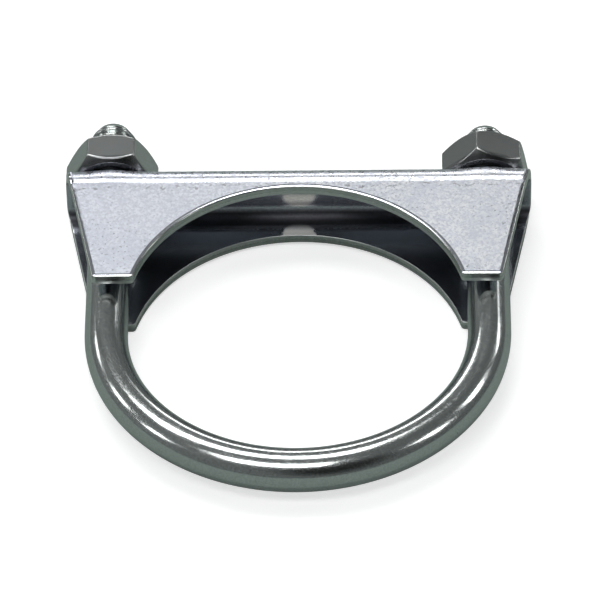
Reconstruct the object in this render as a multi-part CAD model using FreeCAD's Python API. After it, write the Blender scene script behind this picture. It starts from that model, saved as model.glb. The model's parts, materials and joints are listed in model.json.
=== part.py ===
import FreeCAD, Part
import math
import os

from FreeCAD import Vector

# Saddle clamp with a round U-bolt, for a 70 mm exhaust pipe.
# Millimetres. The origin is on the pipe's axis at the clamp's mid-plane,
# +Z runs along the pipe, +X across the legs, +Y out through the nuts.
# The clamp is shown closed on its nominal pipe, lying flat.

# Pipe and rod
PIPE_R = 35.0
ROD_R = 4.5                    # rolled-thread blank of an M10 rod
LEG_X = PIPE_R + ROD_R         # legs run straight up from the bend's ends
LEFT_TIP_Y = 60.0              # the rod is cut and bent a little off centre
RIGHT_TIP_Y = 58.8

# M10 x 1.5 thread on both legs, drawn as its crest cylinder
THREAD_R = 4.95
THREAD_START_Y = 26.0
RUN_OUT = 1.6                  # cone from the plain rod out to the crests
POINT_LENGTH = 2.6             # tapered thread point
POINT_R = 3.4
POINT_EDGE = 0.5               # small bevel round the end face

# Saddle: a sheet steel channel, open towards the pipe
SHEET = 2.2
SADDLE_WIDTH = 16.4
BEND_R = 5.5                   # outside radius where walls meet the web
WEB_Y = 43.3                   # web's outer face, where the nuts bear
WALL_FOOT_Y = 8.5              # walls' free edges
WEB_HALF_LENGTH = 49.0
FOOT_HALF_LENGTH = 42.4
CORNER_R = 0.9                 # rounded corners of the walls
LEG_HOLE_R = 5.5

# Hex nuts, 17 mm across flats
NUT_AF = 17.0
NUT_HEIGHT = 8.4
NUT_FACE_R = 7.8               # edge of the flat bearing face
NUT_CHAMFER_DEG = 40.0
NUT_BORE_R = THREAD_R + 0.05   # thread drawn as a running fit on its crests
BORE_BEVEL = 0.45
LEFT_NUT_TURN_DEG = 0.0        # a flat faces +Z
RIGHT_NUT_TURN_DEG = 18.9      # a corner is 11 degrees short of +Z

# Tools for cutting
CLEARANCE = 2.0                # how far a cutter stands past what it cuts
TOUCHING = 0.01                # edges closer than this are the same edge

X_DIR = Vector(1, 0, 0)
Y_DIR = Vector(0, 1, 0)
Z_DIR = Vector(0, 0, 1)


def face_of(edges):
    """A face bounded by edges given in order."""
    return Part.Face(Part.Wire(edges))


def polygon_face(points):
    """A flat face from a ring of points."""
    return Part.Face(Part.makePolygon(points + points[:1]))


def turned_about_y(profile, x):
    """Solid of revolution about the line x = x, z = 0, from (radius, y) pairs."""
    points = [Vector(x + radius, y, 0) for radius, y in profile]
    return polygon_face(points).revolve(Vector(x, 0, 0), Y_DIR, 360)


def line(a, b):
    return Part.LineSegment(a, b).toShape()


def arc(a, middle, b):
    return Part.Arc(a, middle, b).toShape()


# ---------------------------------------------------------------- U-bolt

def leg(x, tip_y):
    """One straight leg with its thread and its tapered point."""
    point_start = tip_y - POINT_LENGTH
    profile = [
        (0, 0),
        (ROD_R, 0),
        (ROD_R, THREAD_START_Y - RUN_OUT),
        (THREAD_R, THREAD_START_Y),
        (THREAD_R, point_start),
        (POINT_R, tip_y - POINT_EDGE),
        (POINT_R - POINT_EDGE, tip_y),
        (0, tip_y),
    ]
    return turned_about_y(profile, x)


def bend():
    """The half ring that goes round the pipe, below the legs."""
    section = Part.Circle(Vector(-LEG_X, 0, 0), Y_DIR, ROD_R).toShape()
    return face_of([section]).revolve(Vector(0, 0, 0), Z_DIR, 180)


def u_bolt():
    legs = [leg(-LEG_X, LEFT_TIP_Y), leg(LEG_X, RIGHT_TIP_Y)]
    return bend().fuse(legs).removeSplitter()


# ---------------------------------------------------------------- saddle

def channel():
    """The bent sheet as a long channel: web across, walls on either side."""
    outer_z = SADDLE_WIDTH / 2
    inner_z = outer_z - SHEET
    inner_bend_r = BEND_R - SHEET
    bend_y = WEB_Y - BEND_R
    bend_z = outer_z - BEND_R
    half_length = WEB_HALF_LENGTH + CLEARANCE
    x = -half_length

    def at(y, z):
        return Vector(x, y, z)

    def bend_arc(radius, side):
        slope = radius * math.sqrt(0.5)
        start = at(bend_y, side * (bend_z + radius))
        middle = at(bend_y + slope, side * (bend_z + slope))
        end = at(bend_y + radius, side * bend_z)
        return start, middle, end

    outer_up = bend_arc(BEND_R, 1)
    outer_down = bend_arc(BEND_R, -1)
    inner_up = bend_arc(inner_bend_r, 1)
    inner_down = bend_arc(inner_bend_r, -1)
    foot_outer_up = at(WALL_FOOT_Y, outer_z)
    foot_inner_up = at(WALL_FOOT_Y, inner_z)
    foot_outer_down = at(WALL_FOOT_Y, -outer_z)
    foot_inner_down = at(WALL_FOOT_Y, -inner_z)
    edges = [
        line(foot_outer_up, outer_up[0]),
        arc(*outer_up),
        line(outer_up[2], outer_down[2]),
        arc(*reversed(outer_down)),
        line(outer_down[0], foot_outer_down),
        line(foot_outer_down, foot_inner_down),
        line(foot_inner_down, inner_down[0]),
        arc(*inner_down),
        line(inner_down[2], inner_up[2]),
        arc(*reversed(inner_up)),
        line(inner_up[0], foot_inner_up),
        line(foot_inner_up, foot_outer_up),
    ]
    return face_of(edges).extrude(X_DIR * 2 * half_length)


def wall_outline():
    """Prism with the walls' outline: slanted ends and the pipe's cut-out."""
    foot_y = WALL_FOOT_Y
    corners = [
        Vector(-WEB_HALF_LENGTH, WEB_Y, 0),
        Vector(-FOOT_HALF_LENGTH, foot_y, 0),
        Vector(FOOT_HALF_LENGTH, foot_y, 0),
        Vector(WEB_HALF_LENGTH, WEB_Y, 0),
    ]
    depth = SADDLE_WIDTH + 2 * CLEARANCE
    drop = Z_DIR * (-depth / 2)
    blank = polygon_face(corners).extrude(Z_DIR * depth)
    blank.translate(drop)
    pipe = Part.makeCylinder(PIPE_R, depth, drop, Z_DIR)
    return blank.cut(pipe)


def foot_edges(solid):
    """The short edges along Z where the walls' free edges end."""
    inner_x = math.sqrt(PIPE_R ** 2 - WALL_FOOT_Y ** 2)
    found = []
    for edge in solid.Edges:
        mid = edge.CenterOfMass
        span = edge.BoundBox
        upright = span.ZLength > SHEET - TOUCHING and span.XLength < TOUCHING
        at_foot = abs(mid.y - WALL_FOOT_Y) < TOUCHING
        from_corner = min(abs(abs(mid.x) - inner_x), abs(abs(mid.x) - FOOT_HALF_LENGTH))
        if upright and at_foot and from_corner < TOUCHING:
            found.append(edge)
    return found


def saddle():
    blank = channel().common(wall_outline())
    drill_y = WEB_Y - SHEET - CLEARANCE
    drill_length = SHEET + 2 * CLEARANCE
    for x in (-LEG_X, LEG_X):
        blank = blank.cut(Part.makeCylinder(LEG_HOLE_R, drill_length, Vector(x, drill_y, 0), Y_DIR))
    return blank.makeFillet(CORNER_R, foot_edges(blank))


# ------------------------------------------------------------------ nuts

def hex_prism(x, turn_deg):
    """Hexagonal bar under the nut's height; turn 0 has a flat facing +Z."""
    corner_r = NUT_AF / math.sqrt(3)
    points = []
    for k in range(6):
        angle = math.radians(30 + 60 * k + turn_deg)
        points.append(Vector(x + corner_r * math.sin(angle), WEB_Y, corner_r * math.cos(angle)))
    return polygon_face(points).extrude(Y_DIR * NUT_HEIGHT)


def chamfer_body(x):
    """Solid of revolution that takes the hexagon's corners off at both faces."""
    near, far = WEB_Y, WEB_Y + NUT_HEIGHT
    slope = math.tan(math.radians(NUT_CHAMFER_DEG))
    middle_r = NUT_FACE_R + (NUT_HEIGHT / 2) / slope
    profile = [
        (0, near),
        (NUT_FACE_R, near),
        (middle_r, (near + far) / 2),
        (NUT_FACE_R, far),
        (0, far),
    ]
    return turned_about_y(profile, x)


def threaded_bore(x):
    """The nut's bore with its bevelled mouths."""
    near, far = WEB_Y, WEB_Y + NUT_HEIGHT
    mouth_r = NUT_BORE_R + BORE_BEVEL
    profile = [
        (0, near),
        (mouth_r, near),
        (NUT_BORE_R, near + BORE_BEVEL),
        (NUT_BORE_R, far - BORE_BEVEL),
        (mouth_r, far),
        (0, far),
    ]
    return turned_about_y(profile, x)


def nut(x, turn_deg):
    return hex_prism(x, turn_deg).common(chamfer_body(x)).cut(threaded_bore(x))


# ---------------------------------------------------------------- output

def single_solid(shape):
    """The one solid of a boolean result."""
    return shape.Solids[0] if len(shape.Solids) == 1 else shape


parts = {
    "u_bolt": u_bolt(),
    "saddle": saddle(),
    "nut_left": nut(-LEG_X, LEFT_NUT_TURN_DEG),
    "nut_right": nut(LEG_X, RIGHT_NUT_TURN_DEG),
}

os.makedirs("parts", exist_ok=True)
for name, shape in parts.items():
    solid = single_solid(shape)
    box = solid.BoundBox
    solid.exportStep(os.path.join("parts", name + ".step"))
    print(name, solid.ShapeType, solid.isValid(), "volume", round(solid.Volume, 1),
          "x", round(box.XMin, 2), round(box.XMax, 2),
          "y", round(box.YMin, 2), round(box.YMax, 2),
          "z", round(box.ZMin, 2), round(box.ZMax, 2))
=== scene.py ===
"""Looks of the saddle clamp: rod, saddle and nuts in bright zinc, lying on a pale floor."""

import json
import math

import bmesh
import bpy
import numpy as np
from mathutils import Matrix, Vector


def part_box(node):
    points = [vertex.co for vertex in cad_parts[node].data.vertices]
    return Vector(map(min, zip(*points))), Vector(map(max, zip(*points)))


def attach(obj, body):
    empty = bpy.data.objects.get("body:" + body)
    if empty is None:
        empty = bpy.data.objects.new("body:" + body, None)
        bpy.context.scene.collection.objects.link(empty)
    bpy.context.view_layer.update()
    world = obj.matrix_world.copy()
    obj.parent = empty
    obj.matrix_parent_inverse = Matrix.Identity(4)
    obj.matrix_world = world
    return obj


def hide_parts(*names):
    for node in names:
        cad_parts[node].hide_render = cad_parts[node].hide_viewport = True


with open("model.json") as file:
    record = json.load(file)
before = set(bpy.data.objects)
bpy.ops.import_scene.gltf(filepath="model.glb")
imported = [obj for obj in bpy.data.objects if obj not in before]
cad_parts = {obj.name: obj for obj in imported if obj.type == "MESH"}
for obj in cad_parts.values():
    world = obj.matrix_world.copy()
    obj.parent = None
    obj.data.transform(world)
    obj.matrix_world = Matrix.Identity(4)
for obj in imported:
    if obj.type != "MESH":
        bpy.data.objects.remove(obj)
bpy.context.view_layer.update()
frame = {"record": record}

MM = 0.001
TURN = 2 * math.pi
QUARTER_TURN = TURN / 4

# ------------------------------------------------------- sizes from the frame

mounts = {mount["name"]: mount for mount in frame["record"]["mounts"]}
bolt_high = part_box("u_bolt")[1]
saddle_low, saddle_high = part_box("saddle")
nut_low, nut_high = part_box("nut_left")

BOX_MARGIN = 0.02 * MM             # keeps the rod's mesh inside the CAD box
PIPE_R = mounts["pipe_clamp"]["dims"]["r_mm"] * MM
THREAD_R = bolt_high.z
LEG_X = bolt_high.x - THREAD_R
ROD_R = LEG_X - PIPE_R - BOX_MARGIN
LEFT_TIP_Y = bolt_high.y

WEB_Y = saddle_high.y
FOOT_Y = saddle_low.y
HALF_WIDTH = saddle_high.z
WEB_HALF_LENGTH = saddle_high.x

NUT_NEAR_Y = nut_low.y
NUT_FAR_Y = nut_high.y

# ---------------------------------------------------------- other dimensions

RIGHT_TIP_Y = 58.4 * MM
TIP_HEIGHTS = {-1: LEFT_TIP_Y, 1: RIGHT_TIP_Y}
POINT_LENGTH = 2.6 * MM            # each leg ends in a short cone
POINT_R = 3.4 * MM
TIP_ROUND = 0.35 * MM

PITCH = 1.5 * MM
THREAD_DEPTH = 0.90 * MM
THREAD_START_Y = 26.0 * MM
RUN_OUT = 2.6 * MM                 # length over which the thread grows to its depth
CREST_HALF = 0.085                 # half widths of crest and root, as shares of the pitch
ROOT_HALF = 0.10
FLANK_ROUNDING = 0.35
THREAD_GAP = 0.06 * MM

SHEET = 2.2 * MM
FOOT_HALF_LENGTH = 42.4 * MM
FOOT_CORNER_R = 0.9 * MM
HOLE_R = 5.5 * MM
BEND_R = 5.1 * MM                  # the bend is nearly square,
BEND_ANGLE = math.radians(88)
CREASE_R = 4.5 * MM                # then creases back to a shoulder that leans in,
SHOULDER_ANGLE = math.radians(80.5)
SHOULDER_LENGTH = 1.0 * MM
BLEND_R = 5.0 * MM                 # and blends into the straight wall
BULGE_HEIGHT = 0.45 * MM           # the bend bulges beside each leg hole,
BULGE_HALF_LENGTH = 4.6 * MM
BULGE_ANGLE = 0.80                 # highest this far round it, in radians,
BULGE_SPREAD = 0.42                # and fading over this much
WAVE_HEIGHT = 0.03 * MM            # the walls are wavy by this much either way,
WAVE_ALONG = 9.1 * MM
WAVE_ACROSS = 8.3 * MM
WAVE_SHIFT = 1.3                   # differently on the two walls,
WAVE_START = 1.0                   # from this far round the bend, in radians,
WAVE_GROWTH = 0.5                  # and in full after this much more
DROOP_ANGLE = math.radians(17)     # the sheared edges sink towards the cut,
DROOP_WIDTH = 0.66 * MM
DROOP_CURVE = 1.5                  # more steeply the nearer to it
EDGE_ROUND = 0.18 * MM
BURR_ROUND = 0.14 * MM
PAINTED_HIGHLIGHT_HALF_LENGTH = 3.6 * MM        # two pale half-moons in the channel are painted highlights
PAINTED_HIGHLIGHT_DEPTH = 3.3 * MM

NUT_SIDES = 6
HALF_SIDE = TURN / NUT_SIDES / 2   # angle from the middle of a flat to a corner
NUT_HALF_FLATS = 8.5 * MM
NUT_FACE_R = 7.8 * MM
NUT_CHAMFER = math.radians(40)
NUT_CORNER_R = 0.45 * MM
NUT_FACE_ROUND = 0.10 * MM
NUT_CHAMFER_ROUND = 0.30 * MM
NUT_TURNS = {"nut_left": 0.0, "nut_right": math.radians(18.9)}
BORE_MOUTH_R = 5.45 * MM


# ------------------------------------------------------------- mesh helpers

NORMAL_WEIGHT = 80


def new_object(name, vertices, faces, materials):
    """A smooth-shaded object from points and faces."""
    mesh = bpy.data.meshes.new(name)
    mesh.from_pydata([tuple(v) for v in vertices], [], [tuple(f) for f in faces])
    mesh.validate()
    for material in materials:
        mesh.materials.append(material)
    mesh.shade_smooth()
    piece = bpy.data.objects.new(name, mesh)
    bpy.context.scene.collection.objects.link(piece)
    return piece


def ring_faces(rings, around, closed_rings=False):
    """Quads between consecutive rings that all have the same number of points."""
    faces = []
    last = rings if closed_rings else rings - 1
    for i in range(last):
        here, there = i * around, ((i + 1) % rings) * around
        for k in range(around):
            n = (k + 1) % around
            faces.append((here + k, here + n, there + n, there + k))
    return faces


def outward(piece):
    """Turns every face so that it points out of the closed solid."""
    work = bmesh.new()
    work.from_mesh(piece.data)
    bmesh.ops.recalc_face_normals(work, faces=work.faces[:])
    work.to_mesh(piece.data)
    work.free()


def weigh_normals(piece):
    """Shading that keeps large faces flat beside small rounded edges."""
    weighted = piece.modifiers.new("weighted_normals", "WEIGHTED_NORMAL")
    weighted.mode = "FACE_AREA"
    weighted.weight = NORMAL_WEIGHT


def smoothstep(x):
    """Eases from 0 to 1 while x goes from 0 to 1."""
    x = np.clip(x, 0.0, 1.0)
    return x * x * (3 - 2 * x)


# -------------------------------------------------------------- screw thread

def thread_form(phase):
    """Height of a V thread with slightly eased flanks, 1 on the crest and 0 in the root."""
    from_crest = np.abs((phase + 0.5) % 1.0 - 0.5)
    flank = (from_crest - CREST_HALF) / (0.5 - CREST_HALF - ROOT_HALF)
    straight = np.clip(flank, 0, 1)
    return 1 - smoothstep(flank) * FLANK_ROUNDING - straight * (1 - FLANK_ROUNDING)


def thread_phase(x, y, z):
    """Where a point lies across the right-hand thread that winds up +Y."""
    return y / PITCH - np.arctan2(x, z) / TURN


def leg_radius(x, y, z, tip_y):
    """Radius of a leg at height y, seen from its axis in the direction (x, z)."""
    form = thread_form(thread_phase(x, y, z))
    grown = smoothstep((y - THREAD_START_Y + RUN_OUT) / RUN_OUT)
    crest = ROD_R + (THREAD_R - ROD_R) * grown
    root = ROD_R + (THREAD_R - THREAD_DEPTH - ROD_R) * grown
    threaded = root + (crest - root) * form
    taper = (y - tip_y + POINT_LENGTH) / POINT_LENGTH
    cone = THREAD_R + (POINT_R - THREAD_R) * np.clip(taper, 0, 1)
    return np.minimum(threaded, cone)


# ------------------------------------------------------------------- u-bolt

AROUND = 72                        # points round the rod
RINGS_PER_PITCH = 12
THREAD_STEP = PITCH / RINGS_PER_PITCH
PLAIN_RINGS = 12
BEND_RINGS = 150
TIP_RINGS = 4
END_RING = 0.5                     # a last ring lies this far in on each leg's flat end


def section(centre, outward_dir, radius_of):
    """One ring of the rod: a circle in the plane of outward_dir and +Z."""
    angles = np.arange(AROUND) * TURN / AROUND
    out, up = np.cos(angles), np.sin(angles)
    radius = radius_of(out, up)
    points = np.outer(out * radius, outward_dir)
    points[:, 2] += up * radius
    return points + centre


def leg_heights(top):
    """Ring heights up a leg: coarse on the plain rod, fine on the thread."""
    plain = np.linspace(0, THREAD_START_Y - RUN_OUT, PLAIN_RINGS)
    count = int((top - plain[-1]) / THREAD_STEP)
    fine = np.linspace(plain[-1], top, count)[1:]
    return np.concatenate([plain, fine])


def leg_rings(side):
    """Rings of one leg, from the bend up to the rounded tip."""
    direction = np.array([side, 0.0, 0.0])
    tip_y = TIP_HEIGHTS[side]
    rings = []
    for y in leg_heights(tip_y - TIP_ROUND):
        def radius_of(out, up, y=y):
            return leg_radius(side * out, y, up, tip_y)
        rings.append(section(np.array([side * LEG_X, y, 0]), direction, radius_of))
    shoulder = rings[-1] - rings[-1].mean(0)
    reach = np.linalg.norm(shoulder, axis=1).mean()
    for turn in np.linspace(0, QUARTER_TURN, TIP_RINGS + 1)[1:]:
        shrink = 1 - TIP_ROUND / reach * (1 - math.cos(turn))
        y = tip_y - TIP_ROUND * (1 - math.sin(turn))
        rings.append(shoulder * shrink + np.array([side * LEG_X, y, 0]))
    flat_end = rings[-1] - rings[-1].mean(0)
    rings.append(flat_end * END_RING + rings[-1].mean(0))
    return rings


def bend_rings():
    """Rings round the pipe, from the left leg to the right leg."""
    def plain_radius(out, up):
        return np.full(AROUND, ROD_R)

    rings = []
    for angle in np.linspace(math.pi, TURN, BEND_RINGS + 1)[1:-1]:
        direction = np.array([math.cos(angle), math.sin(angle), 0.0])
        rings.append(section(direction * LEG_X, direction, plain_radius))
    return rings


def add_length_uv(piece, lengths, girth):
    """UVs in metres: along the rod and round it."""
    layer = piece.data.uv_layers.new(name="along_rod")
    for polygon in piece.data.polygons:
        places = [piece.data.loops[i].vertex_index % AROUND for i in polygon.loop_indices]
        wraps = max(places) - min(places) > AROUND / 2
        for i, k in zip(polygon.loop_indices, places):
            ring = piece.data.loops[i].vertex_index // AROUND
            turn = (k + AROUND if wraps and k < AROUND / 2 else k) / AROUND
            layer.data[i].uv = (lengths[ring], turn * girth)


def make_u_bolt(material):
    """The rod as one closed skin: left leg, half ring, right leg and two flat ends."""
    rings = leg_rings(-1)[::-1] + bend_rings() + leg_rings(1)
    vertices = np.concatenate(rings)
    faces = ring_faces(len(rings), AROUND)
    end = len(vertices) - AROUND
    faces.append(tuple(range(AROUND)))
    faces.append(tuple(range(end, end + AROUND)))
    piece = new_object("u_bolt_rod", vertices, faces, [material])
    centres = np.array([ring.mean(0) for ring in rings])
    steps = np.linalg.norm(np.diff(centres, axis=0), axis=1)
    lengths = np.concatenate([[0.0], np.cumsum(steps)])
    add_length_uv(piece, lengths, TURN * ROD_R)
    outward(piece)
    return piece


# ------------------------------------------------------------------- saddle

BEND_SECTION = (                   # length, and the normal's angle where it starts and ends
    (BEND_R * BEND_ANGLE, 0.0, BEND_ANGLE),
    (CREASE_R * (BEND_ANGLE - SHOULDER_ANGLE), BEND_ANGLE, SHOULDER_ANGLE),
    (SHOULDER_LENGTH, SHOULDER_ANGLE, SHOULDER_ANGLE),
    (BLEND_R * (QUARTER_TURN - SHOULDER_ANGLE), SHOULDER_ANGLE, QUARTER_TURN),
)


def along_arc(length, start, end):
    """Travel in y and z along an arc whose normal turns from start to end."""
    if start == end:
        return np.array([-length * math.sin(start), length * math.cos(start)])
    turned = np.array([math.cos(end) - math.cos(start), math.sin(end) - math.sin(start)])
    return turned * length / (end - start)


BEND_TRAVEL = sum(along_arc(*part) for part in BEND_SECTION)
WEB_HALF_FLAT = HALF_WIDTH - BEND_TRAVEL[1]
WALL_START = WEB_HALF_FLAT + sum(part[0] for part in BEND_SECTION)
WALL_TOP_Y = WEB_Y + BEND_TRAVEL[0]
CREASE_Y = WEB_Y + along_arc(*BEND_SECTION[0])[0]
END_SLOPE = (WEB_HALF_LENGTH - FOOT_HALF_LENGTH) / (WEB_Y - FOOT_Y)
BLOCK = 7.0 * MM                   # half side of the square round each leg hole
BLOCK_CELLS = 24
BEND_CELLS = 30
ARC_CELLS = 48
END_CELLS = 4
FOOT_CELLS = 14
FOOT_CORNER_CELLS = 7
WALL_CELLS = 26
WALL_ROWS = WALL_CELLS + 1
WALL_SHARES = np.linspace(0, 1, WALL_ROWS)[:, None]
HOLE_RINGS = 5
DROOP_STEPS = 6
ROUND_STEPS = 6
BURR_STEPS = 3
CUT_ROW = 0.6                      # one row of points lies this far through the sheet


def sheet_place(across):
    """Outer surface at this distance across the blank: y, z and its normal's angle."""
    rest = abs(across)
    if rest <= WEB_HALF_FLAT:
        return WEB_Y, rest, 0.0
    place = np.array([WEB_Y, WEB_HALF_FLAT])
    rest -= WEB_HALF_FLAT
    for length, start, end in BEND_SECTION:
        part = min(rest, length)
        angle = start + (end - start) * part / length
        place = place + along_arc(part, start, angle)
        rest -= part
        if rest <= 0:
            return place[0], place[1], angle
    return place[0] - rest, place[1], QUARTER_TURN


def surface_lift(x, across, angle):
    """How far bulges and waves raise the surface, which is set back to stay within the width."""
    side = math.copysign(1.0, across)
    from_leg = (abs(x) - LEG_X) / BULGE_HALF_LENGTH
    on_bend = math.exp(-((angle - BULGE_ANGLE) / BULGE_SPREAD) ** 2)
    bulge = BULGE_HEIGHT * math.exp(-from_leg ** 2) * on_bend
    along, over = math.sin(x / WAVE_ALONG + WAVE_SHIFT * side), math.sin(across / WAVE_ACROSS)
    wave = WAVE_HEIGHT * along * over * smoothstep((angle - WAVE_START) / WAVE_GROWTH)
    return bulge + wave - WAVE_HEIGHT * math.sin(angle)


def sheet_point(x, across, depth):
    """Where a point of the flat blank, at this depth in the sheet, ends up when it is bent."""
    y, z, angle = sheet_place(across)
    out = surface_lift(x, across, angle) - depth
    side = math.copysign(1.0, across)
    return (x, y + out * math.cos(angle), side * (z + out * math.sin(angle)))


def end_x(across):
    """Half length of the blank at this distance across it."""
    return WEB_HALF_LENGTH - END_SLOPE * (WEB_Y - sheet_place(across)[0])


def fillet(corner, before, after, radius, cells):
    """Points of a round corner between two unit directions that leave it."""
    before, after = np.array(before), np.array(after)
    half = math.acos(float(before @ after)) / 2
    along = radius / math.tan(half)
    middle = (before + after) / np.linalg.norm(before + after)
    centre = corner + middle * radius / math.sin(half)
    start, end = corner + before * along - centre, corner + after * along - centre
    sweep = math.atan2(start[0] * end[1] - start[1] * end[0], float(start @ end))
    base = math.atan2(start[1], start[0])
    turns = base + sweep * np.linspace(0, 1, cells + 1)
    return centre + radius * np.stack([np.cos(turns), np.sin(turns)], 1)


def half_outline():
    """Wall outline in x and y from the cut-out's top to the slanted end."""
    inner_x = math.sqrt(PIPE_R ** 2 - FOOT_Y ** 2)
    inner = np.array([inner_x, FOOT_Y])
    outer = np.array([FOOT_HALF_LENGTH, FOOT_Y])
    up_arc = np.array([-FOOT_Y, inner_x]) / PIPE_R
    up_end = np.array([END_SLOPE, 1.0]) / math.hypot(END_SLOPE, 1.0)
    inner_corner = fillet(inner, up_arc, (1, 0), FOOT_CORNER_R, FOOT_CORNER_CELLS)
    outer_corner = fillet(outer, (-1, 0), up_end, FOOT_CORNER_R, FOOT_CORNER_CELLS)
    start = math.atan2(inner_corner[0][1], inner_corner[0][0])
    turns = np.linspace(QUARTER_TURN, start, ARC_CELLS + 1)
    cut_out = PIPE_R * np.stack([np.cos(turns), np.sin(turns)], 1)
    share = np.linspace(0, 1, FOOT_CELLS + 1)[:, None]
    foot = inner_corner[-1] * (1 - share) + outer_corner[0] * share
    return np.concatenate([cut_out[:-1], inner_corner[:-1], foot[:-1], outer_corner])


def saddle_grid():
    """Flat blank as a grid of (x, across), columns by rows."""
    outline = half_outline()
    web_x = np.concatenate([
        np.linspace(0, LEG_X - BLOCK, ARC_CELLS + 1)[:-1],
        np.linspace(LEG_X - BLOCK, LEG_X + BLOCK, BLOCK_CELLS + 1)[:-1],
        np.linspace(LEG_X + BLOCK, WEB_HALF_LENGTH, END_CELLS + 1),
    ])
    half_rows = np.concatenate([
        np.linspace(0, BLOCK, BLOCK_CELLS // 2 + 1)[:-1],
        np.linspace(BLOCK, WALL_START, BEND_CELLS + 1)[:-1],
    ])
    columns = []
    for x, (foot_x, foot_y) in zip(web_x, outline):
        reach = max(0.0, (x - LEG_X - BLOCK) / (WEB_HALF_LENGTH - LEG_X - BLOCK))
        column = [(x + reach * (end_x(q) - WEB_HALF_LENGTH), q) for q in half_rows]
        top = np.array([x + reach * (end_x(WALL_START) - WEB_HALF_LENGTH), WALL_START])
        foot = np.array([foot_x, WALL_START + WALL_TOP_Y - foot_y])
        column.extend(top * (1 - WALL_SHARES) + foot * WALL_SHARES)
        columns.append(column)
    half = np.array(columns)
    full = np.concatenate([half[:0:-1] * [-1, 1], half])
    lower = full[:, :0:-1] * [1, -1]
    return np.concatenate([lower, full], 1)


def loop_normals(points):
    """Unit normals, to the right of travel, of a closed loop of flat points."""
    along = np.roll(points, -1, 0) - np.roll(points, 1, 0)
    along /= np.linalg.norm(along, axis=1)[:, None]
    return np.stack([along[:, 1], -along[:, 0]], 1)


def around_grid(columns, rows):
    """Grid places round the whole blank."""
    places = [(i, rows - 1) for i in range(columns - 1)]
    places += [(columns - 1, j) for j in range(rows - 1, 0, -1)]
    places += [(i, 0) for i in range(columns - 1, 0, -1)]
    places += [(0, j) for j in range(rows - 1)]
    return places


def around_block(left, right, low, high):
    """Grid places round the square that holds a leg hole."""
    places = [(i, low) for i in range(left, right)]
    places += [(right, j) for j in range(low, high)]
    places += [(i, high) for i in range(right, left, -1)]
    places += [(left, j) for j in range(high, low, -1)]
    return places


def edge_profile():
    """(how far inside the outline, depth) from the outer face to the inner."""
    shares = np.linspace(0, 1, DROOP_STEPS + 1)
    slopes = np.tan(DROOP_ANGLE * shares ** DROOP_CURVE)
    sinks = DROOP_WIDTH / DROOP_STEPS * (slopes[1:] + slopes[:-1]) / 2
    depths = np.concatenate([[0.0], np.cumsum(sinks)])
    points = list(zip(EDGE_ROUND + DROOP_WIDTH * (1 - shares), depths))
    radius = EDGE_ROUND / (1 - math.sin(DROOP_ANGLE))
    for turn in np.linspace(DROOP_ANGLE, QUARTER_TURN, ROUND_STEPS + 1)[1:]:
        sunk = depths[-1] + radius * (math.cos(DROOP_ANGLE) - math.cos(turn))
        points.append((radius * (1 - math.sin(turn)), sunk))
    points.append((0.0, SHEET * CUT_ROW))
    for turn in np.linspace(0, QUARTER_TURN, BURR_STEPS + 1):
        sunk = SHEET - BURR_ROUND * (1 - math.sin(turn))
        points.append((BURR_ROUND * (1 - math.cos(turn)), sunk))
    return points


OUTSIDE, RIM, EDGE, INSIDE = range(4)  # material slots of the sheet


class SheetMesh:
    """Collects the points and faces of the bent sheet."""

    def __init__(self):
        self.vertices = []
        self.faces = []
        self.regions = []

    def point(self, flat, depth):
        """Adds the bent place of a point of the blank; returns its number."""
        self.vertices.append(sheet_point(flat[0], flat[1], depth))
        return len(self.vertices) - 1

    def face(self, corners, region):
        """Adds one face."""
        self.faces.append(corners)
        self.regions.append(region)

    def strip(self, loop_a, loop_b, region):
        """Adds a closed strip of faces between two loops of points."""
        count = len(loop_a)
        for k in range(count):
            n = (k + 1) % count
            self.face((loop_a[k], loop_a[n], loop_b[n], loop_b[k]), region)

    def next_loop(self, loop, flats, depth, region):
        """Adds a loop of points and the strip that joins it to the last one."""
        following = [self.point(flat, depth) for flat in flats]
        self.strip(loop, following, region)
        return following


class Blank:
    """The sheet before it is bent: its grid, its outline and the leg holes' squares."""

    def __init__(self):
        self.grid = saddle_grid()
        self.columns, self.rows = self.grid.shape[:2]
        middle_column, middle_row = self.columns // 2, self.rows // 2
        starts = (middle_column - ARC_CELLS - BLOCK_CELLS, middle_column + ARC_CELLS)
        self.blocks = [(start, start + BLOCK_CELLS) for start in starts]
        self.low = middle_row - BLOCK_CELLS // 2
        self.high = middle_row + BLOCK_CELLS // 2
        self.border = around_grid(self.columns, self.rows)
        self.outline = np.array([self.grid[place] for place in self.border])
        self.out = -loop_normals(self.outline)

    def in_block(self, i, j, margin):
        """Whether a cell (margin 0) or a point (margin 1) lies inside a hole's square."""
        inside_rows = self.low + margin <= j < self.high
        return inside_rows and any(a + margin <= i < b for a, b in self.blocks)

    def inset_outline(self, inset):
        """The outline moved in all round."""
        return self.outline - self.out * inset

    def inset_grid(self, inset):
        """The grid with its border moved in and its wall rows spread again."""
        flat = self.grid.copy()
        for place, point in zip(self.border, self.inset_outline(inset)):
            flat[place] = point
        for column in flat:
            for wall in (column[-WALL_ROWS:], column[WALL_ROWS - 1::-1]):
                top, foot = wall[0].copy(), wall[-1].copy()
                wall[:] = top * (1 - WALL_SHARES) + foot * WALL_SHARES
        return flat


def add_hole_rings(sheet, blank, block, flat, ids, inset, depth, region):
    """Rings from a leg hole's square in to its rim; returns rim, centre and directions."""
    left, right = block
    places = around_block(left, right, blank.low, blank.high)
    square = np.array([flat[place] for place in places])
    centre = (flat[left, blank.low] + flat[right, blank.high]) / 2
    away = square - centre
    away /= np.linalg.norm(away, axis=1)[:, None]
    rim = centre + away * (HOLE_R + inset)
    loop = [ids[place] for place in places]
    for share in np.linspace(0, 1, HOLE_RINGS + 1)[1:]:
        loop = sheet.next_loop(loop, square * (1 - share) + rim * share, depth, region)
    return loop, centre, away


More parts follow.
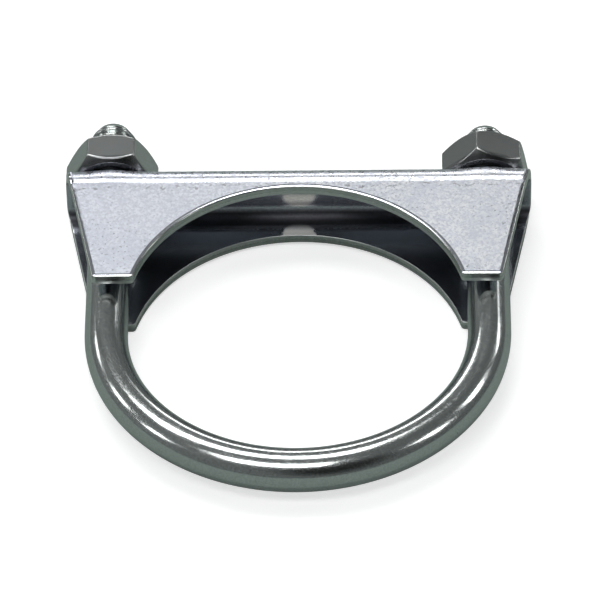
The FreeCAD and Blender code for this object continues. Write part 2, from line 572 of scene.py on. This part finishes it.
def add_skin(sheet, blank, inset, depth, region):
    """One face of the sheet; returns its border and its hole rims."""
    flat = blank.inset_grid(inset)
    ids = {}
    for place in np.ndindex(blank.columns, blank.rows):
        if not blank.in_block(*place, 1):
            ids[place] = sheet.point(flat[place], depth)
    for i, j in np.ndindex(blank.columns - 1, blank.rows - 1):
        if not blank.in_block(i, j, 0):
            corners = (ids[i, j], ids[i + 1, j], ids[i + 1, j + 1], ids[i, j + 1])
            sheet.face(corners, region)
    rims = [
        add_hole_rings(sheet, blank, block, flat, ids, inset, depth, region)
        for block in blank.blocks
    ]
    return [ids[place] for place in blank.border], rims


def add_edge(sheet, profile, outer_loop, loop_at, inner_loop):
    """Faces from the outer skin's rim over the cut edge to the inner skin's rim."""
    loop = outer_loop
    for step, (inset, depth) in enumerate(profile[1:-1]):
        region = RIM if step < DROOP_STEPS else EDGE
        loop = sheet.next_loop(loop, loop_at(inset), depth, region)
    sheet.strip(loop, inner_loop, EDGE)


def make_saddle(materials):
    """The pressing: two skins joined by cut edges round the outline and the leg holes."""
    sheet = SheetMesh()
    blank = Blank()
    profile = edge_profile()
    outer_border, outer_rims = add_skin(sheet, blank, *profile[0], OUTSIDE)
    inner_border, inner_rims = add_skin(sheet, blank, *profile[-1], INSIDE)
    add_edge(sheet, profile, outer_border, blank.inset_outline, inner_border)
    for (outer_loop, centre, away), (inner_loop, _, _) in zip(outer_rims, inner_rims):
        def hole_at(inset, centre=centre, away=away):
            return centre + away * (HOLE_R + inset)
        add_edge(sheet, profile, outer_loop, hole_at, inner_loop)

    piece = new_object("saddle_pressing", sheet.vertices, sheet.faces, materials)
    piece.data.polygons.foreach_set("material_index", sheet.regions)
    outward(piece)
    weigh_normals(piece)
    return piece


# --------------------------------------------------------------------- nuts

FLAT_CELLS = 14
CORNER_STEPS = 4
CORNER_ANGLE = 0.060               # fine steps start this far from a corner, in radians
ROUND_CELLS = 4


def nut_angles():
    """Angles round a nut, close together at the rounded corners."""
    flat_end = HALF_SIDE - CORNER_ANGLE
    sector = np.concatenate([
        np.linspace(-HALF_SIDE, -flat_end, CORNER_STEPS + 1)[:-1],
        np.linspace(-flat_end, flat_end, FLAT_CELLS + 1)[:-1],
        np.linspace(flat_end, HALF_SIDE, CORNER_STEPS + 1)[:-1],
    ])
    return np.concatenate([sector + k * TURN / NUT_SIDES for k in range(NUT_SIDES)])


def hex_radius(angle):
    """Distance from a nut's axis to its hexagon with rounded corners."""
    from_flat = abs((angle + HALF_SIDE) % (2 * HALF_SIDE) - HALF_SIDE)
    from_corner = HALF_SIDE - from_flat
    centre_distance = (NUT_HALF_FLATS - NUT_CORNER_R) / math.cos(HALF_SIDE)
    flat_end = (NUT_HALF_FLATS - NUT_CORNER_R) * math.tan(HALF_SIDE) / NUT_HALF_FLATS
    if math.tan(from_flat) <= flat_end:
        return NUT_HALF_FLATS / math.cos(from_flat)
    aside = centre_distance * math.sin(from_corner)
    ahead = math.sqrt(NUT_CORNER_R ** 2 - aside ** 2)
    return centre_distance * math.cos(from_corner) + ahead


def soft_corners(points, sizes):
    """Rounds the corners of an open profile by cutting back along both sides."""
    result = [points[0]]
    for k in range(1, len(points) - 1):
        here, size = points[k], sizes[k]
        before = points[k - 1] - here
        after = points[k + 1] - here
        a = here + before / np.linalg.norm(before) * size
        b = here + after / np.linalg.norm(after) * size
        for t in np.linspace(0, 1, ROUND_CELLS + 1):
            result.append(a * (1 - t) ** 2 + here * 2 * t * (1 - t) + b * t ** 2)
    result.append(points[-1])
    return result


def bore_radius(x, y, z):
    """Radius of a nut's threaded bore, opened out at 45 degrees at both mouths."""
    form = thread_form(thread_phase(x, y, z))
    root = THREAD_R - THREAD_DEPTH
    threaded = root + (THREAD_R - root) * form + THREAD_GAP
    near_mouth = BORE_MOUTH_R - (y - NUT_NEAR_Y)
    far_mouth = BORE_MOUTH_R - (NUT_FAR_Y - y)
    return max(threaded, near_mouth, far_mouth)


def nut_profile(angle, turn):
    """Closed profile (radius, y) of a nut in the plane at this angle."""
    radius = hex_radius(angle - turn)
    rise = (radius - NUT_FACE_R) * math.tan(NUT_CHAMFER)
    outside = [
        (BORE_MOUTH_R, NUT_NEAR_Y, 0),
        (NUT_FACE_R, NUT_NEAR_Y, NUT_FACE_ROUND),
        (radius, NUT_NEAR_Y + rise, NUT_CHAMFER_ROUND),
        (radius, NUT_FAR_Y - rise, NUT_CHAMFER_ROUND),
        (NUT_FACE_R, NUT_FAR_Y, NUT_FACE_ROUND),
        (BORE_MOUTH_R, NUT_FAR_Y, 0),
    ]
    corners = [np.array(corner[:2]) for corner in outside]
    profile = soft_corners(corners, [corner[2] for corner in outside])
    count = int((NUT_FAR_Y - NUT_NEAR_Y) / THREAD_STEP)
    for y in np.linspace(NUT_FAR_Y, NUT_NEAR_Y, count)[1:-1]:
        profile.append(np.array([bore_radius(math.sin(angle), y, math.cos(angle)), y]))
    return np.array(profile)


def make_nut(node, material):
    """A chamfered hex nut round one leg, from profiles turned about its axis."""
    low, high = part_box(node)
    axis_x = math.copysign(LEG_X, low.x + high.x)
    profiles = []
    for angle in nut_angles() + NUT_TURNS[node]:
        radius, y = nut_profile(angle, NUT_TURNS[node]).T
        x, z = axis_x + radius * math.sin(angle), radius * math.cos(angle)
        profiles.append(np.stack([x, y, z], 1))
    stack = np.array(profiles)
    around, rings = stack.shape[:2]
    vertices = stack.transpose(1, 0, 2).reshape(-1, 3)
    faces = ring_faces(rings, around, closed_rings=True)
    piece = new_object(node + "_hex", vertices, faces, [material])
    outward(piece)
    weigh_normals(piece)
    return piece


# ---------------------------------------------------------------- materials

class Nodes:
    """A material's node tree with short calls for the nodes used here."""

    def __init__(self, name, metallic=1.0):
        self.material = bpy.data.materials.new(name)
        self.material.use_nodes = True
        self.tree = self.material.node_tree
        self.shader = self.tree.nodes["Principled BSDF"]
        self.shader.inputs["Metallic"].default_value = metallic

    def node(self, kind, **settings):
        """A new node with its settings."""
        made = self.tree.nodes.new(kind)
        for key, value in settings.items():
            setattr(made, key, value)
        return made

    def link(self, source, target):
        """Joins an output to an input."""
        self.tree.links.new(source, target)

    def coordinates(self, kind="Object", scale=(1, 1, 1)):
        """Coordinates in metres, each multiplied by its scale."""
        mapping = self.node("ShaderNodeMapping")
        mapping.inputs["Scale"].default_value = scale
        self.link(self.node("ShaderNodeTexCoord").outputs[kind], mapping.inputs["Vector"])
        return mapping.outputs["Vector"]

    def axis(self, name):
        """One object coordinate, in metres."""
        split = self.node("ShaderNodeSeparateXYZ")
        self.link(self.node("ShaderNodeTexCoord").outputs["Object"], split.inputs["Vector"])
        return split.outputs[name]

    def noise(self, vector, scale, detail=2.0, roughness=0.5):
        """Noise round 0.5, with about this many features to a metre."""
        made = self.node("ShaderNodeTexNoise")
        made.inputs["Scale"].default_value = scale
        made.inputs["Detail"].default_value = detail
        made.inputs["Roughness"].default_value = roughness
        self.link(vector, made.inputs["Vector"])
        return made.outputs["Fac"]

    def fine_grain(self, vector):
        """The grain that most of the plating shares, about half a millimetre across."""
        return self.noise(vector, 1900, 2.0, 0.6)

    def specks(self, vector, scale, size):
        """1 in small round specks, 0 between them."""
        made = self.node("ShaderNodeTexVoronoi")
        made.inputs["Scale"].default_value = scale
        self.link(vector, made.inputs["Vector"])
        return self.remap(made.outputs["Distance"], size, size * 0.4)

    def remap(self, value, low, high, to_low=0.0, to_high=1.0):
        """Goes from to_low to to_high while the value goes from low to high."""
        made = self.node("ShaderNodeMapRange")
        made.clamp = True
        made.inputs["From Min"].default_value = low
        made.inputs["From Max"].default_value = high
        made.inputs["To Min"].default_value = to_low
        made.inputs["To Max"].default_value = to_high
        self.link(value, made.inputs["Value"])
        return made.outputs["Result"]

    def math(self, operation, *values):
        """One step of arithmetic; each value is a number or a socket."""
        made = self.node("ShaderNodeMath", operation=operation)
        for socket, value in zip(made.inputs, values):
            if isinstance(value, (int, float)):
                socket.default_value = value
            else:
                self.link(value, socket)
        return made.outputs[0]

    def product(self, *values):
        """All the values multiplied together."""
        result = values[0]
        for value in values[1:]:
            result = self.math("MULTIPLY", result, value)
        return result

    def distance(self, value, level):
        """How far a value is from a level, either way."""
        return self.math("ABSOLUTE", self.math("SUBTRACT", value, level))

    def blend(self, factor, low, high):
        """A colour between two colours; each is a tuple or a socket."""
        made = self.node("ShaderNodeMix", data_type="RGBA")
        self.link(factor, made.inputs["Factor"])
        for name, value in (("A", low), ("B", high)):
            socket = [s for s in made.inputs if s.name == name and s.type == "RGBA"][0]
            if isinstance(value, tuple):
                socket.default_value = (*value, 1.0)
            else:
                self.link(value, socket)
        return [s for s in made.outputs if s.type == "RGBA"][0]

    def bump(self, height, distance, strength=1.0, below=None):
        """A normal raised by a height, over another normal if one is given."""
        made = self.node("ShaderNodeBump")
        made.inputs["Distance"].default_value = distance
        made.inputs["Strength"].default_value = strength
        self.link(height, made.inputs["Height"])
        if below is not None:
            self.link(below, made.inputs["Normal"])
        return made.outputs["Normal"]

    def finish(self, colour, roughness, normal):
        """Links the three results to the shader."""
        self.link(colour, self.shader.inputs["Base Color"])
        self.link(roughness, self.shader.inputs["Roughness"])
        self.link(normal, self.shader.inputs["Normal"])
        return self.material


INNER_HALF_WIDTH = HALF_WIDTH - SHEET
INNER_WEB_Y = WEB_Y - SHEET
BEND_POLISH = 0.7 * MM             # the bend's polish fades in over this
TANGENT_SHADE_WANDER = (-0.2 * MM, 1.6 * MM)   # how far below the wall's top the painted shade line wanders
PAINTED_HIGHLIGHT_SKIN = 0.3 * MM               # a painted highlight shows only this close to its surface
PAINTED_HIGHLIGHT_SHIFT = 0.2 * MM              # the web's painted highlight lies this far below the middle plane

# Each pair says where a painted shade, a painted highlight or the torn edge starts to show and
# where it is full.
CREASE_SHADE = (0.32 * MM, 0.05 * MM)
TANGENT_SHADE_LINE = (0.40 * MM, 0.14 * MM)
RECESS_SHADE_SIDE = (INNER_HALF_WIDTH - 2.6 * MM, INNER_HALF_WIDTH - 1.4 * MM)
RECESS_SHADE_HEIGHT = (CREASE_Y - 1.8 * MM, CREASE_Y - 0.4 * MM)
PAINTED_HIGHLIGHT_EDGE = (0.3 * MM, -0.1 * MM)
TORN_EDGE = (HALF_WIDTH - 1.0 * MM, HALF_WIDTH - 1.6 * MM)
NUT_SEAT_SHADE = (NUT_NEAR_Y + 1.7 * MM, NUT_NEAR_Y + 0.5 * MM)


def saddle_outside_zinc():
    """Zinc over rolled sheet: pale lavender, mottled, polished along the bend; lighter to the right
    and with dark lines along the bend, as painted light and painted shade.
    """
    n = Nodes("zinc_saddle_outside")
    place = n.coordinates()
    grain = n.noise(place, 1500, 3.0, 0.75)
    mottle = n.noise(place, 620, 4.0, 0.70)
    streaks = n.noise(n.coordinates(scale=(1.0, 0.35, 1.0)), 700, 3.0, 0.6)
    blotch = n.noise(place, 95, 2.0, 0.5)
    patchy = n.remap(n.noise(place, 48, 1.0), 0.44, 0.58, 0.25, 1.0)
    pits = n.product(n.remap(n.noise(place, 1350, 2.0, 0.6), 0.62, 0.67), patchy)

    height = n.axis("Y")
    on_bend = n.remap(height, WALL_TOP_Y, WALL_TOP_Y + BEND_POLISH)
    # A thin dark line along the crease is painted shade.
    crease_painted_shade = n.remap(n.distance(height, CREASE_Y), *CREASE_SHADE)
    # A ragged dark line where the bend ends on the wall is painted shade.
    ragged = n.math("ADD", height, n.remap(streaks, 0.3, 0.7, *TANGENT_SHADE_WANDER))
    tangent_painted_shade = n.remap(n.distance(ragged, WALL_TOP_Y), *TANGENT_SHADE_LINE)
    tangent_painted_shade = n.product(tangent_painted_shade, n.remap(mottle, 0.50, 0.58))
    # The pale and dull tones grow lighter towards the right end: painted light.
    right_end_painted_light = n.remap(n.axis("X"), -FOOT_HALF_LENGTH, FOOT_HALF_LENGTH / 2)

    pale = n.blend(right_end_painted_light, (0.88, 0.91, 0.99), (0.95, 0.97, 1.0))
    dull = n.blend(right_end_painted_light, (0.72, 0.74, 0.82), (0.80, 0.82, 0.88))
    colour = n.blend(n.remap(mottle, 0.42, 0.54), dull, pale)
    colour = n.blend(n.remap(grain, 0.44, 0.54, 0.85, 0.0), colour, (0.62, 0.64, 0.71))
    colour = n.blend(n.remap(blotch, 0.52, 0.68, 0.0, 0.40), colour, (0.62, 0.66, 0.75))
    colour = n.blend(n.product(pits, 0.80), colour, (0.18, 0.19, 0.22))
    # painted shade where the bend ends on the wall
    colour = n.blend(n.product(tangent_painted_shade, 0.7), colour, (0.20, 0.20, 0.23))
    # painted shade along the crease
    colour = n.blend(n.product(crease_painted_shade, 0.45), colour, (0.30, 0.31, 0.36))

    polish = n.product(on_bend, n.remap(streaks, 0.35, 0.65, 0.06, 0.14))
    rough = n.math("SUBTRACT", n.remap(mottle, 0.35, 0.65, 0.44, 0.34), polish)
    normal = n.bump(n.math("SUBTRACT", grain, pits), 0.020 * MM, 0.6)
    normal = n.bump(mottle, 0.05 * MM, 0.5, normal)
    normal = n.bump(blotch, 0.15 * MM, 0.4, normal)
    return n.finish(colour, rough, normal)


def saddle_rim_zinc():
    """Smoother zinc where the sheared edge sinks towards the cut."""
    n = Nodes("zinc_saddle_rim")
    grain = n.fine_grain(n.coordinates())
    colour = n.blend(n.remap(grain, 0.36, 0.64), (0.66, 0.68, 0.74), (0.84, 0.86, 0.92))
    rough = n.remap(grain, 0.3, 0.7, 0.20, 0.12)
    normal = n.bump(grain, 0.012 * MM, 0.5)
    return n.finish(colour, rough, normal)


def half_moon(n, x, depth, fray):
    """1 inside a ragged half-moon at the middle of the length, the shape of the painted highlights,
    as deep as their given depth.
    """
    along = n.math("DIVIDE", x, PAINTED_HIGHLIGHT_HALF_LENGTH)
    down = n.math("DIVIDE", depth, PAINTED_HIGHLIGHT_DEPTH)
    spread = n.math("ADD", n.product(along, along), n.product(down, down))
    return n.remap(n.math("ADD", spread, fray), 1.1, 0.8)


def saddle_inside_zinc():
    """Darker zinc in the channel, partly as painted shade: nearly black where walls meet web as
    painted shade, with two pale half-moons as painted highlights.
    """
    n = Nodes("zinc_saddle_inside")
    place = n.coordinates()
    grain = n.fine_grain(place)
    blotch = n.noise(place, 140, 2.0, 0.5)
    x, y, z = n.axis("X"), n.axis("Y"), n.axis("Z")
    # Nearly black where the walls meet the web: painted shade in the corners.
    corner_painted_shade = n.product(n.remap(y, *RECESS_SHADE_HEIGHT), n.remap(n.distance(z, 0.0), *RECESS_SHADE_SIDE))
    fray = n.remap(grain, 0.3, 0.7, -0.15, 0.15)

    # Two pale half-moons, on a wall and on the web, are painted highlights.
    on_wall = n.remap(z, PAINTED_HIGHLIGHT_SKIN - INNER_HALF_WIDTH, -INNER_HALF_WIDTH)
    wall_painted_highlight = n.product(half_moon(n, x, n.math("SUBTRACT", y, PIPE_R), fray), on_wall)
    on_web = n.remap(y, INNER_WEB_Y - PAINTED_HIGHLIGHT_SKIN, INNER_WEB_Y)
    web_painted_highlight = half_moon(n, x, n.math("ADD", z, PAINTED_HIGHLIGHT_SHIFT), fray)
    web_painted_highlight = n.product(web_painted_highlight, on_web, n.remap(z, *PAINTED_HIGHLIGHT_EDGE))

    # The channel's zinc is darker than the outside's, partly as painted shade of the channel.
    colour = n.blend(n.remap(grain, 0.36, 0.64), (0.48, 0.49, 0.55), (0.62, 0.63, 0.69))
    colour = n.blend(n.remap(blotch, 0.4, 0.7, 0.0, 0.5), colour, (0.52, 0.55, 0.60))
    # painted shade in the corners
    colour = n.blend(n.product(corner_painted_shade, 0.93), colour, (0.06, 0.06, 0.07))
    # the pale half-moons: painted highlights
    colour = n.blend(n.math("MAXIMUM", wall_painted_highlight, web_painted_highlight), colour, (0.98, 0.97, 0.94))
    rough = n.remap(grain, 0.3, 0.7, 0.26, 0.18)
    rough = n.math("ADD", rough, n.product(wall_painted_highlight, 0.42))
    rough = n.math("ADD", rough, n.product(corner_painted_shade, 0.25))
    n.link(n.remap(wall_painted_highlight, 0.0, 1.0, 1.0, 0.3), n.shader.inputs["Metallic"])
    normal = n.bump(grain, 0.012 * MM, 0.5)
    normal = n.bump(blotch, 0.10 * MM, 0.3, normal)
    return n.finish(colour, rough, normal)


def saddle_edge_zinc():
    """Zinc over a punched edge: olive grey, smooth by the outer face, torn further in."""
    n = Nodes("zinc_saddle_edge")
    lines = n.noise(n.coordinates(scale=(1.0, 1.0, 0.15)), 1500, 2.0, 0.6)
    tone = n.noise(n.coordinates(), 260, 2.0)
    torn = n.remap(n.distance(n.axis("Z"), 0.0), *TORN_EDGE)
    colour = n.blend(n.remap(lines, 0.3, 0.7), (0.50, 0.52, 0.50), (0.60, 0.62, 0.59))
    colour = n.blend(n.remap(tone, 0.4, 0.7, 0.0, 0.4), colour, (0.50, 0.54, 0.52))
    colour = n.blend(n.product(torn, 0.7), colour, (0.70, 0.73, 0.72))
    rough = n.math("ADD", n.remap(lines, 0.3, 0.7, 0.12, 0.18), n.product(torn, 0.22))
    normal = n.bump(lines, 0.02 * MM, 0.3)
    return n.finish(colour, rough, normal)


def rod_zinc():
    """Glossy zinc over drawn rod: grey-green, faint draw lines and scuffs."""
    n = Nodes("zinc_rod")
    place = n.coordinates()
    lines = n.noise(n.coordinates("UV", (0.05, 1.0, 1.0)), 2600, 2.0, 0.6)
    ripple = n.noise(place, 170, 1.0, 0.5)
    grain = n.noise(place, 2400, 2.0, 0.6)
    orange_peel = n.noise(place, 800, 2.0, 0.5)
    scuffs = n.remap(n.noise(n.coordinates("UV", (0.35, 1.0, 1.0)), 700, 3.0, 0.65), 0.64, 0.76)
    dirt = n.product(n.specks(place, 700, 0.16), n.remap(n.noise(place, 120), 0.55, 0.66))
    colour = n.blend(n.remap(grain, 0.35, 0.65), (0.53, 0.56, 0.55), (0.65, 0.68, 0.67))
    colour = n.blend(n.product(scuffs, 0.20), colour, (0.72, 0.75, 0.75))
    colour = n.blend(n.product(dirt, 0.8), colour, (0.12, 0.12, 0.12))
    satin = n.remap(n.noise(place, 3000, 2.0, 0.6), 0.40, 0.62, 0.09, 0.21)
    rough = n.math("ADD", satin, n.remap(lines, 0.3, 0.7, 0.0, 0.05))
    rough = n.math("ADD", rough, n.product(scuffs, 0.05))
    normal = n.bump(lines, 0.006 * MM, 0.5)
    normal = n.bump(orange_peel, 0.010 * MM, 0.5, normal)
    normal = n.bump(ripple, 0.08 * MM, 0.5, normal)
    normal = n.bump(grain, 0.008 * MM, 0.5, normal)
    return n.finish(colour, rough, normal)


def nut_zinc():
    """Semi-gloss zinc over a cold-formed nut: mid grey, slightly olive, dark where it sits on the
    saddle, partly as painted shade.
    """
    n = Nodes("zinc_nut")
    place = n.coordinates()
    grain = n.fine_grain(place)
    blotch = n.noise(place, 300, 2.0)
    colour = n.blend(n.remap(grain, 0.35, 0.65), (0.50, 0.51, 0.50), (0.58, 0.59, 0.58))
    colour = n.blend(n.remap(blotch, 0.4, 0.7, 0.0, 0.4), colour, (0.52, 0.55, 0.56))
    # Darkening at the bearing face, partly painted shade where the nut meets the saddle.
    seat_painted_shade = n.remap(n.axis("Y"), *NUT_SEAT_SHADE)
    colour = n.blend(n.product(seat_painted_shade, 0.8), colour, (0.10, 0.10, 0.11))
    rough = n.remap(grain, 0.3, 0.7, 0.26, 0.20)
    normal = n.bump(grain, 0.006 * MM, 0.5)
    normal = n.bump(blotch, 0.05 * MM, 0.3, normal)
    return n.finish(colour, rough, normal)


# ------------------------------------------------------------------- pieces

u_bolt = make_u_bolt(rod_zinc())
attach(u_bolt, "u_bolt")
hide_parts("u_bolt")

saddle = make_saddle([
    saddle_outside_zinc(), saddle_rim_zinc(), saddle_edge_zinc(), saddle_inside_zinc(),
])
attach(saddle, "saddle")
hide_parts("saddle")

nut_material = nut_zinc()
for node in ("nut_left", "nut_right"):
    nut = make_nut(node, nut_material)
    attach(nut, node)
    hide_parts(node)


# -------------------------------------------------------------------- stage

FLOOR_HALF = 3.0                   # half side of the floor
BANK_HEIGHT = 1.2                  # height of the panels overhead
PANEL_SIZE = (0.70 * BANK_HEIGHT, 0.34 * BANK_HEIGHT)
LARGE_PANEL_SIZE = (1.7 * BANK_HEIGHT, 0.62 * BANK_HEIGHT)
PANEL_RADIANCE = 5.2
ROOM_RADIANCE = 0.135
ROOM_TINT = (0.94, 1.0, 1.0, 1)
DARK_SIDE = (0.25, -0.75, 0.60)    # direction in which the room is darkest


def floor_material():
    """Pale paper: white to the camera, a dim sage grey in the metal's reflections."""
    n = Nodes("floor_pale", metallic=0.0)
    direct = n.node("ShaderNodeLightPath").outputs["Is Camera Ray"]
    colour = n.blend(direct, (0.31, 0.36, 0.335), (0.72, 0.72, 0.72))
    n.link(colour, n.shader.inputs["Base Color"])
    n.shader.inputs["Roughness"].default_value = 1.0
    n.shader.inputs["Specular IOR Level"].default_value = 0.0
    n.shader.inputs["Emission Color"].default_value = (1, 1, 1, 1)
    n.link(n.product(direct, 0.60), n.shader.inputs["Emission Strength"])
    return n.material


def make_floor():
    """A floor tilted to lie under the saddle's feet and the lowest nut corner."""
    nut_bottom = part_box("nut_right")[0].z
    foot = Vector((0, FOOT_Y, -HALF_WIDTH))
    heel = Vector((0, NUT_FAR_Y, nut_bottom))
    tilt = math.atan2(heel.z - foot.z, heel.y - foot.y)
    corners = [(x * FLOOR_HALF, y * FLOOR_HALF, 0) for x, y in ((-1, -1), (1, -1), (1, 1), (-1, 1))]
    floor = new_object("floor", corners, [(0, 1, 2, 3)], [floor_material()])
    floor.matrix_world = Matrix.Translation(foot) @ Matrix.Rotation(tilt, 4, "X")


def panel(name, x, y, size):
    """One soft ceiling panel; x and y are shares of the bank's height."""
    data = bpy.data.lights.new(name, "AREA")
    data.shape = "RECTANGLE"
    data.size, data.size_y = size
    data.energy = PANEL_RADIANCE * math.pi * size[0] * size[1]
    light = bpy.data.objects.new(name, data)
    bpy.context.scene.collection.objects.link(light)
    light.location = (x * BANK_HEIGHT, y * BANK_HEIGHT, BANK_HEIGHT)


def make_lights():
    """Panels overhead in three columns and three rows, the far middle one large and set back."""
    columns = {"left": -1.85, "middle": -0.18, "right": 1.50}
    rows = {"near": -0.45, "mid": 0.42, "far": 1.40}
    for column, x in columns.items():
        for row, y in rows.items():
            if (column, row) != ("middle", "far"):
                panel(f"panel_{column}_{row}", x, y, PANEL_SIZE)
    panel("panel_middle_far", -0.40, 2.20, LARGE_PANEL_SIZE)


def make_world():
    """Dim room light between the panels: darkest part way up in front, brighter on the left."""
    world = bpy.data.worlds.new("studio")
    world.use_nodes = True
    tree = world.node_tree
    background = tree.nodes["Background"]
    background.inputs["Color"].default_value = ROOM_TINT
    direction = tree.nodes.new("ShaderNodeTexCoord").outputs["Generated"]

    def towards(target, low, high, to_low, to_high):
        """Goes from to_low to to_high as the cosine to a direction goes from low to high."""
        dot = tree.nodes.new("ShaderNodeVectorMath")
        dot.operation = "DOT_PRODUCT"
        dot.inputs[1].default_value = Vector(target).normalized()
        tree.links.new(direction, dot.inputs[0])
        share = tree.nodes.new("ShaderNodeMapRange")
        share.inputs["From Min"].default_value = low
        share.inputs["From Max"].default_value = high
        share.inputs["To Min"].default_value = to_low
        share.inputs["To Max"].default_value = to_high
        tree.links.new(dot.outputs["Value"], share.inputs["Value"])
        return share.outputs["Result"]

    in_front = towards(DARK_SIDE, 0.86, 0.97, 1.0, 0.15)
    sideways = towards((-1, 0, 0), -1.0, 1.0, 0.85, 1.3)
    strength = tree.nodes.new("ShaderNodeMath")
    strength.operation = "MULTIPLY"
    tree.links.new(in_front, strength.inputs[0])
    tree.links.new(sideways, strength.inputs[1])
    scaled = tree.nodes.new("ShaderNodeMath")
    scaled.operation = "MULTIPLY"
    scaled.inputs[1].default_value = ROOM_RADIANCE
    tree.links.new(strength.outputs[0], scaled.inputs[0])
    tree.links.new(scaled.outputs[0], background.inputs["Strength"])
    bpy.context.scene.world = world


CAMERA_DISTANCE = 32.336 * LEG_X
CAMERA_ELEVATION = math.radians(44.523)
CAMERA_YAW = math.radians(1.104)
CAMERA_ROLL = math.radians(-1.250)
FOCAL_LENGTH_MM = 365.7
SENSOR_MM = 36.0
CLIP_NEAR = 0.05
CLIP_FAR = 20
ASIDE = (0.03741 * LEG_X, 0.14113 * LEG_X)


def make_camera():
    """A long lens from in front and above, set slightly aside and slightly rolled."""
    back = Vector((
        math.sin(CAMERA_YAW) * math.cos(CAMERA_ELEVATION),
        -math.cos(CAMERA_YAW) * math.cos(CAMERA_ELEVATION),
        math.sin(CAMERA_ELEVATION),
    ))
    level = Vector((math.cos(CAMERA_YAW), math.sin(CAMERA_YAW), 0))
    above = back.cross(level)
    right = math.cos(CAMERA_ROLL) * level + math.sin(CAMERA_ROLL) * above
    up = -math.sin(CAMERA_ROLL) * level + math.cos(CAMERA_ROLL) * above
    data = bpy.data.cameras.new("camera")
    data.lens = FOCAL_LENGTH_MM
    data.sensor_width = SENSOR_MM
    data.clip_start = CLIP_NEAR
    data.clip_end = CLIP_FAR
    camera = bpy.data.objects.new("camera", data)
    bpy.context.scene.collection.objects.link(camera)
    place = back * CAMERA_DISTANCE + right * ASIDE[0] + up * ASIDE[1]
    turned = Matrix((right, up, back)).transposed().to_4x4()
    camera.matrix_world = Matrix.Translation(place) @ turned
    bpy.context.scene.camera = camera


make_floor()
make_lights()
make_world()
make_camera()
bpy.context.scene.view_settings.view_transform = "Standard"
